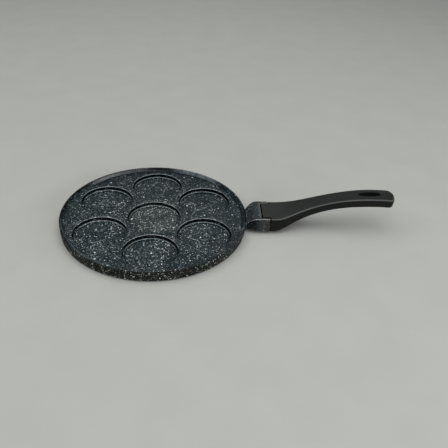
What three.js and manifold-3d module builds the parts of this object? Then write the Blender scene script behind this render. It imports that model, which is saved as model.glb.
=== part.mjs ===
// Pancake pan with seven round wells. The pan, its neck and the cradle for the handle are one aluminium
// casting. The moulded handle lies in the cradle with a tongue and is held by one screw from below.
// Millimetres, +Z up, +X along the handle. The origin is on the table, under the middle of the pan.
import * as THREE from "three";
import { mergeVertices } from "three/addons/utils/BufferGeometryUtils.js";
import Module from "manifold-3d";

// Wells
const WELL_COUNT = 6; // around the middle one
const WELL_FLOOR_RADIUS = 36;
const WELL_DEPTH = 5.5;
const WELL_LEAN = 1.4; // how far the wall leans out from floor to edge
const WELL_EDGE_ROUND = 0.8;
const WELL_FLOOR_FILLET = 1.4;
const WELL_LAND = 5; // flat left between neighbouring wells

// Plate and rim
const BASE_THICKNESS = 6; // under the wells
const EDGE_LAND = 3.4; // flat left between the outer wells and the rim's fillet
const DISH_FILLET = 2;
const RIM_HEIGHT = 5.5; // above the plate
const RIM_LEAN = 2.4; // how far the rim's inner face leans out
const RIM_WIDTH = 2.6;
const RIM_ROUND = 1;
const WALL_DRAFT = 0.5; // the outer wall is this much smaller at the base
const BASE_CORNER = 2.5;
const BASE_STEP = 0.4; // the turned base stands proud of the coated corner
const BASE_STEP_INSET = 4; // from the corner's inner end to the edge of the turned base

// Neck and cradle
const NECK_LENGTH = 20.3; // rim to seam
const NECK_ROOT = 9; // reaches this far inside the rim, within the wall
const NECK_HALF_WIDTH = 19.5;
const NECK_DROP = 3; // its top leaves the wall this far below the rim
const NECK_BOTTOM = 5;
const NECK_RISE_START = 1.5; // the neck starts to climb and widen this far inside the rim
const NECK_RISE_END = 4.3; // and is at full height and width this far before the seam
const BRACKET_HALF_WIDTH = 23.7;
const BRACKET_BOTTOM = 2.8;
const BRACKET_HEIGHT = 22;
const BRACKET_LOWER_ROUND = 3.5;
const BRACKET_UPPER_ROUND = 1.2;
const CHEEK_LENGTH = 11.7;
const CHEEK_THICKNESS = 5;
const CRADLE_FLOOR = 7; // thickness under the tongue

// Handle, with lengths counted from the seam
const FIT_GAP = 0.3; // between the handle and the casting, and round the insert
const HANDLE_LENGTH = 186;
const HANDLE_SIDE_STEP = 0.2; // the handle's sides lie this far inside the cheeks
const NARROW_START = 17.7; // sides begin to draw in
const WAIST_AT = 99.7;
const WAIST_HALF_WIDTH = 13.4;
const GRIP_AT = 157.7; // widest and highest place of the grip
const GRIP_HALF_WIDTH = 14.6;
const GRIP_RISE = 29.3; // grip top above the root's top
const TOP_RISE_START = 20;
const GRIP_THICKNESS = 13.5; // at the sides
const UNDERSIDE_RISE_START = 17.7;
const GRIP_DROOP = 1.4; // from the highest place to the end
const CROWN = 1.5; // the grip's top is higher along its middle
const HANDLE_LOWER_ROUND = 4;
const HANDLE_UPPER_ROUND = 1.6;
const END_CAP = 10; // length of the rounded end
const END_ROUNDNESS = 2.5; // exponent of the end's outline
const END_EDGE_ROUND = 2;
const END_SLANT = 2.2; // the underside ends this far before the top
const END_SHARE = 0.985; // the rounding stops just short of a point, which leaves a small flat

// Hanging slot
const SLOT_LENGTH = 32.6;
const SLOT_WIDTH = 11;
const SLOT_END_WALL = 19.4; // from the slot to the handle's end

// Fastening
const SCREW_RADIUS = 2.5;
const SCREW_FROM_SEAM = 5.2;
const SCREW_GRIP = 8; // length of thread inside the insert
const HEAD_RADIUS = 4.3;
const HEAD_HEIGHT = 2.3;
const HEAD_RECESS = 0.5; // head below the cradle's underside
const DRIVE_WIDTH = 1.1;
const DRIVE_SPAN = 4.6;
const DRIVE_DEPTH = 1.4;
const HOLE_CLEARANCE = 0.25; // round the screw
const WASHER_RADIUS = 4.7;
const FLAT_WASHER_THICKNESS = 0.9;
const SPRING_WASHER_RADIUS = 4.4;
const SPRING_WASHER_THICKNESS = 1.1;
const SPRING_WASHER_SPLIT = 1;
const COUNTERBORE_CLEARANCE = 0.4;
const INSERT_WALL = 1.2;
const INSERT_LENGTH = 9;
const INSERT_WAIST = 0.5; // depth of the groove that locks the insert in the moulding
const THREAD_CLEARANCE = 0.15;

const HEAD_CHAMFER = 1;
const SCREW_POINT = 0.8; // chamfer at the screw's end

// How long each curve stays level where it starts and where it ends, as shares of its run
const NECK_EASE = [0.17, 0.57];
const NECK_UNDERSIDE_EASE = [0.57, 0.17];
const TOP_EASE = [0.18, 0.54];
const UNDERSIDE_EASE = [0.14, 0.65];
const NARROW_EASE = [0.27, 0.71];
const WIDEN_EASE = [0.38, 0.4];
const CROWN_EASE = [0.3, 0.3];
const MOST_ROUND = 0.95; // a corner's radius stays under this share of half the bar

// Facets
const PAN_FACETS = 84;
const WELL_FACETS = 40;
const SCREW_FACETS = 32;
const SLOT_FACETS = 28;
const FILLET_STEPS = 2;
const CORNER_STEPS = 4;
const CROWN_STEPS = 4;
const NECK_STATIONS = 14;
const HANDLE_STATIONS = 26;
const CAP_STATIONS = 8;
const PAST = 4; // how far a cutter reaches past what it cuts
const WELD = 1e-5;
const HALVINGS = 40; // steps in finding a place along a curve

// Sizes that follow from the ones above
const WELL_EDGE_RADIUS = WELL_FLOOR_RADIUS + WELL_LEAN + WELL_EDGE_ROUND;
const WELL_RING_RADIUS = (2 * WELL_EDGE_RADIUS + WELL_LAND) / (2 * Math.sin(Math.PI / WELL_COUNT));
const DISH_FLOOR_RADIUS = WELL_RING_RADIUS + WELL_EDGE_RADIUS + EDGE_LAND;
const RIM_INNER_RADIUS = DISH_FLOOR_RADIUS + DISH_FILLET + RIM_LEAN;
const PAN_RADIUS = RIM_INNER_RADIUS + RIM_WIDTH;
const PLATE_Z = BASE_THICKNESS + WELL_DEPTH;
const RIM_Z = PLATE_Z + RIM_HEIGHT;
const SEAM_X = PAN_RADIUS + NECK_LENGTH;
const CHEEK_END_X = SEAM_X + CHEEK_LENGTH;
const BRACKET_TOP = BRACKET_BOTTOM + BRACKET_HEIGHT;
const FLOOR_TOP = BRACKET_BOTTOM + CRADLE_FLOOR;
const POCKET_HALF_WIDTH = BRACKET_HALF_WIDTH - CHEEK_THICKNESS;
const HANDLE_START_X = SEAM_X + FIT_GAP;
const HANDLE_END_X = SEAM_X + HANDLE_LENGTH;
const ROOT_HALF_WIDTH = BRACKET_HALF_WIDTH - HANDLE_SIDE_STEP;
const TONGUE_BOTTOM = FLOOR_TOP + FIT_GAP;
const SCREW_X = SEAM_X + SCREW_FROM_SEAM;
const HEAD_BOTTOM = BRACKET_BOTTOM + HEAD_RECESS;
const SPRING_WASHER_Z = HEAD_BOTTOM + HEAD_HEIGHT;
const FLAT_WASHER_Z = SPRING_WASHER_Z + SPRING_WASHER_THICKNESS;
const SEAT_Z = FLAT_WASHER_Z + FLAT_WASHER_THICKNESS;
const HOLE_RADIUS = SCREW_RADIUS + HOLE_CLEARANCE;
const COUNTERBORE_RADIUS = WASHER_RADIUS + COUNTERBORE_CLEARANCE;

const wasm = await Module();
wasm.setup();

// A closed geometry as a solid that can be joined and cut
function toSolid(geometry) {
  const bare = geometry.clone();
  bare.deleteAttribute("normal");
  bare.deleteAttribute("uv");
  const merged = mergeVertices(bare, WELD);
  const corners = merged.index.array;
  const triVerts = [];
  for (let i = 0; i < corners.length; i += 3) {
    const [a, b, c] = corners.slice(i, i + 3);
    if (a !== b && b !== c && c !== a) {
      triVerts.push(a, b, c);
    }
  }
  const mesh = new wasm.Mesh({
    numProp: 3,
    vertProperties: Float32Array.from(merged.attributes.position.array),
    triVerts: Uint32Array.from(triVerts),
  });
  return new wasm.Manifold(mesh);
}

function toGeometry(solid) {
  const mesh = solid.getMesh();
  const geometry = new THREE.BufferGeometry();
  geometry.setAttribute("position", new THREE.BufferAttribute(mesh.vertProperties, 3));
  geometry.setIndex(new THREE.BufferAttribute(mesh.triVerts, 1));
  geometry.computeVertexNormals();
  return geometry;
}

// Quarter-round from one angle to another, in degrees, as points of a turned profile
function arc(x, y, radius, from, to, steps) {
  const points = [];
  for (let i = 0; i <= steps; i++) {
    const angle = THREE.MathUtils.degToRad(from + ((to - from) * i) / steps);
    points.push(new THREE.Vector2(x + radius * Math.cos(angle), y + radius * Math.sin(angle)));
  }
  return points;
}

const at = (x, y) => new THREE.Vector2(x, y);

// A turned body about Z, from a profile of radius and height that runs out, up and back
function turned(profile, facets) {
  return toSolid(new THREE.LatheGeometry(profile, facets).rotateX(Math.PI / 2));
}

// A block between two corners
function block(low, high) {
  const size = new THREE.Vector3().subVectors(high, low);
  const middle = new THREE.Vector3().addVectors(low, high).multiplyScalar(0.5);
  const geometry = new THREE.BoxGeometry(size.x, size.y, size.z);
  return toSolid(geometry.translate(middle.x, middle.y, middle.z));
}

// A round bar or hole about a vertical line
function post(x, radius, low, high) {
  const profile = [at(0, low), at(radius, low), at(radius, high), at(0, high)];
  return turned(profile, SCREW_FACETS).translate([x, 0, 0]);
}

// A flat ring about Z, standing on z = 0
function ring(inner, outer, thickness) {
  const profile = [
    at(inner, 0),
    at(outer, 0),
    at(outer, thickness),
    at(inner, thickness),
    at(inner, 0),
  ];
  return turned(profile, SCREW_FACETS);
}

// A smooth rise or fall from one level place to another, as a height for each x
function rise(from, to, [leave, arrive]) {
  const run = to.x - from.x;
  const curve = new THREE.CubicBezierCurve(
    from,
    at(from.x + leave * run, from.y),
    at(to.x - arrive * run, to.y),
    to
  );
  return (x) => {
    if (x <= from.x) {
      return from.y;
    }
    if (x >= to.x) {
      return to.y;
    }
    let low = 0;
    let high = 1;
    for (let i = 0; i < HALVINGS; i++) {
      const middle = (low + high) / 2;
      if (curve.getPoint(middle).x < x) {
        low = middle;
      } else {
        high = middle;
      }
    }
    return curve.getPoint(low).y;
  };
}

// Section of a rounded bar, anticlockwise seen from +X: right side, crowned top, left side
function barSection({ halfWidth, bottom, top, crown, lowerRound, upperRound }) {
  const limit = Math.min(halfWidth, (top - bottom) / 2) * MOST_ROUND;
  const lower = Math.min(lowerRound, limit);
  const upper = Math.min(upperRound, limit);
  const right = [
    ...arc(halfWidth - lower, bottom + lower, lower, -90, 0, CORNER_STEPS),
    ...arc(halfWidth - upper, top - upper, upper, 0, 90, CORNER_STEPS),
  ];
  const left = right.map((point) => at(-point.x, point.y)).reverse();
  const flat = halfWidth - upper;
  const middle = [];
  for (let i = 1; i < CROWN_STEPS; i++) {
    const share = 1 - (2 * i) / CROWN_STEPS;
    middle.push(at(flat * share, top + crown * (1 - share * share)));
  }
  return [...right, ...middle, ...left];
}

// A closed bar along X through one section after another
function barThrough(places, sectionAt) {
  const vertices = [];
  const faces = [];
  const sections = places.map((x) => barSection(sectionAt(x)));
  const count = sections[0].length;
  sections.forEach((section, i) => {
    section.forEach((point) => vertices.push(places[i], point.x, point.y));
  });
  for (let i = 0; i + 1 < places.length; i++) {
    for (let j = 0; j < count; j++) {
      const next = (j + 1) % count;
      const here = i * count;
      const there = here + count;
      faces.push(here + j, here + next, there + j);
      faces.push(here + next, there + next, there + j);
    }
  }
  const contour = sections[0];
  const lid = THREE.ShapeUtils.triangulateShape(contour, []);
  const last = (places.length - 1) * count;
  lid.forEach(([a, b, c]) => {
    faces.push(c, b, a);
    faces.push(last + a, last + b, last + c);
  });
  const geometry = new THREE.BufferGeometry();
  geometry.setAttribute("position", new THREE.Float32BufferAttribute(vertices, 3));
  geometry.setIndex(faces);
  return toSolid(geometry);
}

// Evenly spaced places from one end to the other
function spread(from, to, count) {
  return Array.from({ length: count }, (_, i) => from + ((to - from) * i) / (count - 1));
}

// The solid disc that the dish and the wells are cut from
function puck() {
  const cornerRadius = PAN_RADIUS - WALL_DRAFT - BASE_CORNER;
  const baseRadius = cornerRadius - BASE_STEP_INSET;
  const profile = [
    at(0, 0),
    at(baseRadius, 0),
    at(baseRadius + BASE_STEP, BASE_STEP),
    ...arc(cornerRadius, BASE_CORNER + BASE_STEP, BASE_CORNER, -90, 0, FILLET_STEPS),
    ...arc(PAN_RADIUS - RIM_ROUND, RIM_Z - RIM_ROUND, RIM_ROUND, 0, 90, FILLET_STEPS),
    at(0, RIM_Z),
  ];
  return turned(profile, PAN_FACETS);
}

// The space inside the rim, above the plate
function dish() {
  const profile = [
    at(0, PLATE_Z),
    ...arc(DISH_FLOOR_RADIUS, PLATE_Z + DISH_FILLET, DISH_FILLET, -90, 0, FILLET_STEPS),
    at(RIM_INNER_RADIUS - RIM_ROUND, RIM_Z - RIM_ROUND),
    at(RIM_INNER_RADIUS, RIM_Z),
    at(RIM_INNER_RADIUS, RIM_Z + PAST),
    at(0, RIM_Z + PAST),
  ];
  return turned(profile, PAN_FACETS);
}

// The space in one well, at the origin
function well() {
  const floorRadius = WELL_FLOOR_RADIUS - WELL_FLOOR_FILLET;
  const fillet = WELL_FLOOR_FILLET;
  const profile = [
    at(0, BASE_THICKNESS),
    ...arc(floorRadius, BASE_THICKNESS + fillet, fillet, -90, 0, FILLET_STEPS),
    ...arc(WELL_EDGE_RADIUS, PLATE_Z - WELL_EDGE_ROUND, WELL_EDGE_ROUND, 180, 90, FILLET_STEPS),
    at(WELL_EDGE_RADIUS, PLATE_Z + PAST),
    at(0, PLATE_Z + PAST),
  ];
  return turned(profile, WELL_FACETS);
}

// Middle of each well: one at the pan's centre, the others in a ring with the handle between two of them
function wellPlaces() {
  const places = [[0, 0, 0]];
  for (let i = 0; i < WELL_COUNT; i++) {
    const angle = (2 * Math.PI * (i + 0.5)) / WELL_COUNT;
    places.push([WELL_RING_RADIUS * Math.cos(angle), WELL_RING_RADIUS * Math.sin(angle), 0]);
  }
  return places;
}

// Neck and cradle: a bar that climbs from the wall, widens and ends in two cheeks with a floor between
function bracket() {
  const startX = PAN_RADIUS - NECK_ROOT;
  const wallX = PAN_RADIUS - NECK_RISE_START;
  const fullX = SEAM_X - NECK_RISE_END;
  const top = rise(at(wallX, RIM_Z - NECK_DROP), at(fullX, BRACKET_TOP), NECK_EASE);
  const side = rise(at(wallX, NECK_HALF_WIDTH), at(fullX, BRACKET_HALF_WIDTH), NECK_EASE);
  const underside = rise(at(wallX, NECK_BOTTOM), at(SEAM_X, BRACKET_BOTTOM), NECK_UNDERSIDE_EASE);
  const bar = barThrough(spread(startX, CHEEK_END_X, NECK_STATIONS), (x) => ({
    halfWidth: side(x),
    bottom: underside(x),
    top: top(x),
    crown: 0,
    lowerRound: BRACKET_LOWER_ROUND,
    upperRound: BRACKET_UPPER_ROUND,
  }));
  const pocket = block(
    new THREE.Vector3(SEAM_X, -POCKET_HALF_WIDTH, FLOOR_TOP),
    new THREE.Vector3(CHEEK_END_X + PAST, POCKET_HALF_WIDTH, BRACKET_TOP + PAST)
  );
  return bar
    .subtract(pocket)
    .subtract(post(SCREW_X, HOLE_RADIUS, BRACKET_BOTTOM - PAST, FLOOR_TOP + PAST))
    .subtract(post(SCREW_X, COUNTERBORE_RADIUS, BRACKET_BOTTOM - PAST, SEAT_Z));
}

function panBody() {
  const wellSpace = well();
  let body = puck().add(bracket()).subtract(dish());
  wellPlaces().forEach((place) => {
    body = body.subtract(wellSpace.translate(place));
  });
  return body;
}

// The space round the tongue that the cradle's cheeks and floor take up
function cradleClearance() {
  const backX = HANDLE_START_X - PAST;
  const frontX = CHEEK_END_X + FIT_GAP;
  const tongue = POCKET_HALF_WIDTH - FIT_GAP;
  const outside = BRACKET_HALF_WIDTH + PAST;
  const low = BRACKET_BOTTOM - PAST;
  const high = BRACKET_TOP + PAST;
  const floor = block(
    new THREE.Vector3(backX, -outside, low),
    new THREE.Vector3(frontX, outside, TONGUE_BOTTOM)
  );
  const right = block(
    new THREE.Vector3(backX, tongue, low),
    new THREE.Vector3(frontX, outside, high)
  );
  const left = block(
    new THREE.Vector3(backX, -outside, low),
    new THREE.Vector3(frontX, -tongue, high)
  );
  return floor.add(right).add(left);
}

// The hanging slot, a long oval
function slotCutter() {
  const outline = new THREE.Shape();
  outline.absellipse(0, 0, SLOT_LENGTH / 2, SLOT_WIDTH / 2, 0, 2 * Math.PI);
  const depth = BRACKET_TOP + GRIP_RISE + CROWN + PAST;
  const geometry = new THREE.ExtrudeGeometry(outline, {
    depth,
    bevelEnabled: false,
    curveSegments: SLOT_FACETS,
  });
  const middleX = HANDLE_END_X - SLOT_END_WALL - SLOT_LENGTH / 2;
  return toSolid(geometry.translate(middleX, 0, 0));
}

// Outline of the insert, or of its place in the moulding when it is grown by a clearance
function insertSolid(grow) {
  const outer = SCREW_RADIUS + THREAD_CLEARANCE + INSERT_WALL + grow;
  const waist = outer - INSERT_WAIST;
  const third = INSERT_LENGTH / 3;
  const profile = [
    at(0, -grow),
    at(outer, -grow),
    at(outer, third - grow),
    at(waist, third + INSERT_WAIST - grow),
    at(waist, 2 * third - INSERT_WAIST + grow),
    at(outer, 2 * third + grow),
    at(outer, INSERT_LENGTH + grow),
    at(0, INSERT_LENGTH + grow),
  ];
  return turned(profile, SCREW_FACETS);
}

function handle() {
  const gripX = SEAM_X + GRIP_AT;
  const waistX = SEAM_X + WAIST_AT;
  const narrowX = SEAM_X + NARROW_START;
  const gripTop = BRACKET_TOP + GRIP_RISE;
  const gripBottom = gripTop - GRIP_THICKNESS;
  const swell = GRIP_HALF_WIDTH - WAIST_HALF_WIDTH;
  const top = rise(at(SEAM_X + TOP_RISE_START, BRACKET_TOP), at(gripX, gripTop), TOP_EASE);
  const underside = rise(
    at(SEAM_X + UNDERSIDE_RISE_START, BRACKET_BOTTOM),
    at(gripX, gripBottom),
    UNDERSIDE_EASE
  );
  const narrow = rise(at(narrowX, ROOT_HALF_WIDTH), at(waistX, WAIST_HALF_WIDTH), NARROW_EASE);
  const widen = rise(at(waistX, 0), at(gripX, swell), WIDEN_EASE);
  const crown = rise(at(narrowX, 0), at(gripX, CROWN), CROWN_EASE);
  const capX = HANDLE_END_X - END_CAP;
  const edgeX = HANDLE_END_X - END_EDGE_ROUND;
  const slantX = HANDLE_END_X - END_SLANT;

  const sectionAt = (x) => {
    const sag = GRIP_DROOP * Math.max(0, (x - gripX) / (HANDLE_END_X - gripX)) ** 2;
    const capShare = END_SHARE * Math.max(0, (x - capX) / END_CAP);
    const edgeShare = END_SHARE * Math.max(0, (x - edgeX) / END_EDGE_ROUND);
    const inset = END_EDGE_ROUND * (1 - Math.sqrt(1 - edgeShare ** 2));
    const height = top(x) - underside(x);
    const slant = Math.max(0, (x - slantX) / END_SLANT) * (height / 2 - END_EDGE_ROUND);
    const round = (1 - capShare ** END_ROUNDNESS) ** (1 / END_ROUNDNESS);
    return {
      halfWidth: (narrow(x) + widen(x)) * round,
      bottom: underside(x) - sag + inset + slant,
      top: top(x) - sag - inset,
      crown: crown(x) * round,
      lowerRound: HANDLE_LOWER_ROUND,
      upperRound: HANDLE_UPPER_ROUND,
    };
  };
  const along = spread(HANDLE_START_X, capX, HANDLE_STATIONS);
  for (let i = 1; i <= CAP_STATIONS; i++) {
    along.push(capX + END_CAP * Math.sin((Math.PI / 2) * (i / CAP_STATIONS)));
  }
  return barThrough(along, sectionAt)
    .subtract(cradleClearance())
    .subtract(slotCutter())
    .subtract(insertSolid(FIT_GAP).translate([SCREW_X, 0, TONGUE_BOTTOM]));
}

function threadedInsert() {
  const bore = post(0, SCREW_RADIUS + THREAD_CLEARANCE, -PAST, INSERT_LENGTH + PAST);
  return insertSolid(0).subtract(bore);
}

// Screw standing on its head, with a crossed drive in the underside
function handleScrew() {
  const shankTop = TONGUE_BOTTOM + SCREW_GRIP - HEAD_BOTTOM;
  const profile = [
    at(0, 0),
    at(HEAD_RADIUS - HEAD_CHAMFER, 0),
    at(HEAD_RADIUS, HEAD_CHAMFER),
    at(HEAD_RADIUS, HEAD_HEIGHT),
    at(SCREW_RADIUS, HEAD_HEIGHT),
    at(SCREW_RADIUS, shankTop - SCREW_POINT),
    at(SCREW_RADIUS - SCREW_POINT, shankTop),
    at(0, shankTop),
  ];
  const long = DRIVE_SPAN / 2;
  const short = DRIVE_WIDTH / 2;
  const bars = [
    block(new THREE.Vector3(-long, -short, -PAST), new THREE.Vector3(long, short, DRIVE_DEPTH)),
    block(new THREE.Vector3(-short, -long, -PAST), new THREE.Vector3(short, long, DRIVE_DEPTH)),
  ];
  return turned(profile, SCREW_FACETS).subtract(bars[0].add(bars[1]));
}

function springWasher() {
  const half = SPRING_WASHER_SPLIT / 2;
  const split = block(
    new THREE.Vector3(0, -half, -PAST),
    new THREE.Vector3(SPRING_WASHER_RADIUS + PAST, half, SPRING_WASHER_THICKNESS + PAST)
  );
  return ring(HOLE_RADIUS, SPRING_WASHER_RADIUS, SPRING_WASHER_THICKNESS).subtract(split);
}

function flatWasher() {
  return ring(HOLE_RADIUS, WASHER_RADIUS, FLAT_WASHER_THICKNESS);
}

function piece(name, solid, finish, z = 0) {
  const mesh = new THREE.Mesh(toGeometry(solid), new THREE.MeshStandardMaterial(finish));
  mesh.name = name;
  mesh.position.z = z;
  return mesh;
}

const COATING = { color: 0x2e3438, roughness: 0.5, metalness: 0.1 };
const MOULDING = { color: 0x1d1e1e, roughness: 0.45, metalness: 0 };
const BRASS = { color: 0xb08d4a, roughness: 0.35, metalness: 1 };
const ZINC = { color: 0xa9adb0, roughness: 0.35, metalness: 1 };

const pancakePan = new THREE.Group();
pancakePan.add(piece("pan_body", panBody(), COATING));
pancakePan.add(piece("handle", handle(), MOULDING));

const fastening = new THREE.Group();
fastening.position.x = SCREW_X;
fastening.add(piece("threaded_insert", threadedInsert(), BRASS, TONGUE_BOTTOM));
fastening.add(piece("handle_screw", handleScrew(), ZINC, HEAD_BOTTOM));
fastening.add(piece("spring_washer", springWasher(), ZINC, SPRING_WASHER_Z));
fastening.add(piece("flat_washer", flatWasher(), ZINC, FLAT_WASHER_Z));
pancakePan.add(fastening);

export default pancakePan;
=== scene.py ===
"""A seven-well pancake pan with a stone-effect coating and a black moulded handle.

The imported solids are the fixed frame: metres, +Z up, +X along the handle. The casting and the handle
are modelled again in it with finer rounds, and the fastening's solids get their finishes.
"""
import math

import bmesh
import bpy
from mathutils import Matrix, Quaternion, Vector


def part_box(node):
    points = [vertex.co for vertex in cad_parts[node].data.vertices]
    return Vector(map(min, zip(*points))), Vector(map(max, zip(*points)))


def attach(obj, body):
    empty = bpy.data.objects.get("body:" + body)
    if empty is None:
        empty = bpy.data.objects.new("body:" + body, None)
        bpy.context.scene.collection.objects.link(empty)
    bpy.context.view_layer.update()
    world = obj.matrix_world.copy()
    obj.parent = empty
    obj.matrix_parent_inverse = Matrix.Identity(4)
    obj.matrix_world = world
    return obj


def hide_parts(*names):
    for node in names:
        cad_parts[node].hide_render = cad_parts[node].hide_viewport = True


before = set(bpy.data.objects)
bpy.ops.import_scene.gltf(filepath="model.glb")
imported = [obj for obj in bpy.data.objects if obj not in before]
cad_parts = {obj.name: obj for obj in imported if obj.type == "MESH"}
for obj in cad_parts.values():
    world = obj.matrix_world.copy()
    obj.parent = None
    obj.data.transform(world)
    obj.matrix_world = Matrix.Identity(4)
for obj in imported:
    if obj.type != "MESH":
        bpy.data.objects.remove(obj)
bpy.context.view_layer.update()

MM = 0.001


def off(place, *steps):
    """Places that lie these millimetres off another."""
    return [place + step * MM for step in steps]


# Places that the frame gives
pan_low, pan_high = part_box("pan_body")
handle_low, handle_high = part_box("handle")
screw_low, screw_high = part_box("handle_screw")
washer_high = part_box("flat_washer")[1]
insert_low, insert_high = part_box("threaded_insert")
PAN_RADIUS = -pan_low.x
CHEEK_END_X = pan_high.x
BRACKET_TOP = pan_high.z
BRACKET_BOTTOM = handle_low.z
HANDLE_START_X = handle_low.x
HANDLE_END_X = handle_high.x
ROOT_HALF_WIDTH = handle_high.y
SCREW_X = (screw_low.x + screw_high.x) / 2

# Wells
WELL_COUNT = 6
WELL_FLOOR_RADIUS = 36 * MM
WELL_DEPTH = 5.5 * MM
WELL_LEAN = 0.4 * MM
WELL_EDGE_ROUND = 1.8 * MM
WELL_FLOOR_FILLET = 2 * MM
WELL_LAND = 5 * MM
WELL_EDGE_RADIUS = WELL_FLOOR_RADIUS + WELL_LEAN + WELL_EDGE_ROUND
WELL_RING_RADIUS = (2 * WELL_EDGE_RADIUS + WELL_LAND) / (2 * math.sin(math.pi / WELL_COUNT))
EDGE_LIFT = 0.02 * MM  # the well's edge round leaves the plate at a slight angle

# Raised lines on the floors of the outer wells
RELIEF_RADIUS = 20 * MM
RELIEF_POINTS = 96
RIDGE_HALF_WIDTH = 0.9 * MM
RIDGE_HEIGHT = 0.7 * MM
RIDGE_SUNK = 0.15 * MM
RIDGE_STEPS = 2
DROP_WIDTHS = (0.36, 0.3)
LEAF_WIDTH = 0.54
LEAF_POINTS = 0.35
LEAF_LEAN = (0.8, 0.6)  # cosine and sine

# Plate, rim and base
BASE_THICKNESS = 6 * MM
PLATE_Z = BASE_THICKNESS + WELL_DEPTH
RIM_Z = 17 * MM
EDGE_LAND = 3.4 * MM
DISH_FILLET = 2 * MM
RIM_ROUND = 1 * MM
RIM_LEAN_ANGLE = 29.3  # degrees from upright, of the rim's inner face
DISH_FLOOR_RADIUS = WELL_RING_RADIUS + WELL_EDGE_RADIUS + EDGE_LAND
WALL_DRAFT = 0.5 * MM
BASE_CORNER = 2.5 * MM
CORNER_RADIUS = PAN_RADIUS - WALL_DRAFT - BASE_CORNER
BASE_STEP = 0.4 * MM
BASE_RADIUS = CORNER_RADIUS - 4 * MM
GROOVE_PITCH = 6 * MM
GROOVE_WIDTH = 1.6 * MM
GROOVE_DEPTH = 0.3 * MM
GROOVE_FIRST = 12 * MM
GROOVE_COUNT = 18

# Neck and cradle
FIT_GAP = 0.3 * MM
SEAM_X = HANDLE_START_X - FIT_GAP
NECK_ROOT = 2.4 * MM  # starts this far inside the rim, within the wall
NECK_HALF_WIDTH = 19.5 * MM
NECK_TOP = RIM_Z - 3 * MM
NECK_BOTTOM = 5 * MM
NECK_RISE_START = PAN_RADIUS - 1.5 * MM
NECK_RISE_END = SEAM_X - 4.3 * MM
BRACKET_HALF_WIDTH = ROOT_HALF_WIDTH + 0.2 * MM
CHEEK_THICKNESS = 5 * MM
POCKET_HALF_WIDTH = BRACKET_HALF_WIDTH - CHEEK_THICKNESS
CRADLE_FLOOR_TOP = BRACKET_BOTTOM + 7 * MM
BRACKET_LOWER_ROUND = 3.5 * MM
BRACKET_UPPER_ROUND = 1.6 * MM
BRACKET_EDGE_ROUND = 1.1 * MM
POCKET_CORNER = 2.5 * MM
EDGE_CLEAR = 1.9 * MM  # no station lies this near an edge that is rounded
SCREW_HOLE_RADIUS = 2.75 * MM
COUNTERBORE_RADIUS = 5.1 * MM
NECK_STATIONS = 22
CHEEK_STATIONS = 3

# Handle, with places counted from the seam
NARROW_X = SEAM_X + 17.7 * MM
WAIST_X = SEAM_X + 99.7 * MM
GRIP_X = SEAM_X + 157.7 * MM
TOP_RISE_X = SEAM_X + 20 * MM
WAIST_HALF_WIDTH = 13.4 * MM
GRIP_HALF_WIDTH = 14.6 * MM
GRIP_TOP = BRACKET_TOP + 29.3 * MM
GRIP_THICKNESS = 13.5 * MM
GRIP_DROOP = 1.4 * MM
CROWN = 1.5 * MM
HANDLE_LOWER_ROUND = 4 * MM
HANDLE_UPPER_ROUND = 2.8 * MM
TONGUE_EDGE_ROUND = 0.7 * MM
END_CAP = 10 * MM
END_ROUNDNESS = 2.8  # exponent of the end's outline in plan
END_FLAT = 0.95  # the stations stop at this share of the end, and its face carries the rest
END_SLANT = 2.2 * MM
STOCK = 30 * MM  # the bar starts this far back, and is cut to the tongue
HANDLE_STATIONS = 34
SLOT_STATIONS = 15
END_STATIONS = 4
CAP_STATIONS = 9
COLUMNS = 8

# Hanging slot
SLOT_LENGTH = 32.6 * MM
SLOT_WIDTH = 11 * MM
SLOT_END_WALL = 19.4 * MM
SLOT_LIP_ROUND = 1.8 * MM
SLOT_LIP_STEPS = 2
SLOT_MARGIN = 3.5 * MM  # from the slot's ends to the nearest stations
SLOT_COLUMNS_SHARE = 0.58  # the columns across this share of the grip make room for it
SLOT_END_SPREAD = 0.6  # below 1, the oval's points lie closer together at its ends
SLOT_X = HANDLE_END_X - SLOT_END_WALL - SLOT_LENGTH / 2

# How long each curve stays level where it starts and where it ends, as shares of its run
NECK_EASE = (0.17, 0.57)
NECK_UNDERSIDE_EASE = (0.57, 0.35)
TOP_EASE = (0.18, 0.54)
UNDERSIDE_EASE = (0.14, 0.65)
NARROW_EASE = (0.27, 0.71)
WIDEN_EASE = (0.38, 0.4)
CROWN_EASE = (0.3, 0.3)

# Meshing
PAN_FACETS = 192
WELL_FACETS = 112
SMALL_FACETS = 64
ARC_STEPS = 5
ROUND_STEPS = 4
SMOOTH_ANGLE = math.radians(34)
WELD = 1e-7
NEAR = 0.02 * MM
NEAR_OVAL = 0.01
PAST = 4 * MM
ACROSS_LEAST = 3 * MM
HALVINGS = 40
# Faces count as level, as base or as end when their normal is past these
LEVEL_FACE = 0.5
BASE_FACE = -0.2
END_FACE = 0.3

# Values of noise at its dark and its light blotches, crisp and soft
BLOTCHES = (0.35, 0.65)
SOFT_BLOTCHES = (0.3, 0.7)
NOISE_MIDDLE = (0.5, 0.5, 0.5)
FINE_DETAIL = 3.0
WAVE_DETAIL = 2.0
GRAIN_WAVE_SHARE = 0.6

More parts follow.
